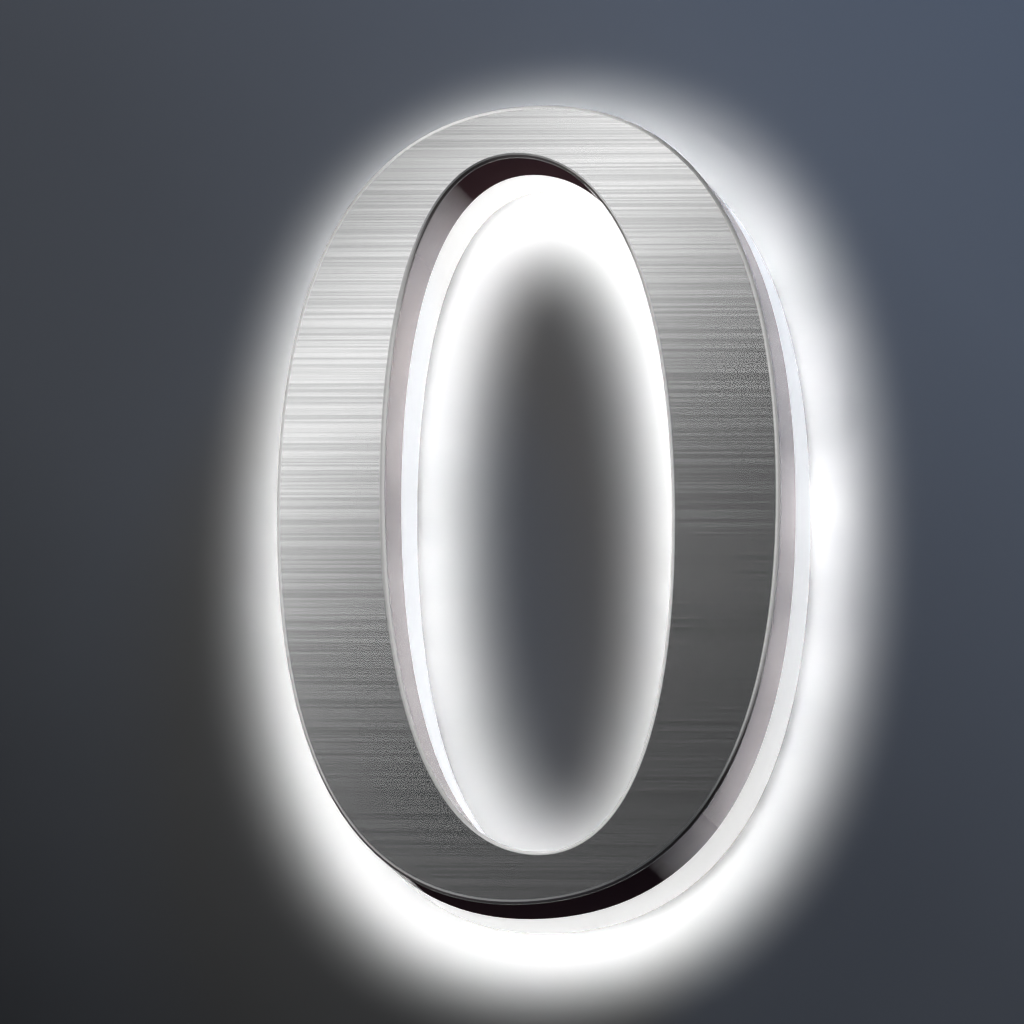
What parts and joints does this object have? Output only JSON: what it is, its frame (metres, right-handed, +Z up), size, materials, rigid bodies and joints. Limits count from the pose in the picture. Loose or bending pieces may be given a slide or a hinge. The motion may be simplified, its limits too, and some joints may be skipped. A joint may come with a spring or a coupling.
{
  "type": "illuminated house number sign",
  "caption": "Wall-mounted house number zero: brushed steel shell on an opal acrylic light body that glows onto the wall, held off it by sleeved studs",
  "frame": {"origin": "centre of the four wall studs, on the wall plane", "axes": "+Z up, the face looks along -Y, +Y points into the wall, +X to the viewer's right"},
  "size_m": [0.126, 0.072, 0.2],
  "materials": {
    "brushed_face": "stainless steel, horizontal grain",
    "satin_return": "satin stainless steel strip",
    "post_steel": "plain steel weld post",
    "opal_acrylic": "opal acrylic, lit from inside",
    "seal_silicone": "translucent silicone cord",
    "screw_steel": "stainless screws",
    "board_mask": "white solder mask",
    "led_case": "white moulded package",
    "led_phosphor": "yellow phosphor gel",
    "resistor_black": "black chip resistor",
    "rectifier_black": "black moulded package",
    "capacitor_sleeve": "dark shrink sleeve",
    "terminal_green": "moulded terminal housing",
    "standoff_brass": "plain brass",
    "washer_nylon": "natural nylon",
    "insert_brass": "knurled brass",
    "stud_steel": "threaded stainless rod",
    "spacer_steel": "turned stainless sleeve",
    "grommet_rubber": "black rubber"
  },
  "bodies": {
    "root": {"face_plate": "brushed_face", "outer_return": "satin_return", "inner_return": "satin_return", "face_posts": "post_steel", "diffuser": "opal_acrylic", "outer_seal": "seal_silicone", "inner_seal": "seal_silicone", "clamp_screws": "screw_steel", "led_board": "board_mask", "led_packages": "led_case", "led_phosphors": "led_phosphor", "string_resistors": "resistor_black", "bridge_rectifier": "rectifier_black", "smoothing_capacitor": "capacitor_sleeve", "supply_terminal": "terminal_green", "terminal_screws": "screw_steel", "board_standoffs": "standoff_brass", "board_washers": "washer_nylon", "threaded_inserts": "insert_brass", "wall_studs": "stud_steel", "wall_spacers": "spacer_steel", "cable_grommet": "grommet_rubber"}
  },
  "joints": []
}
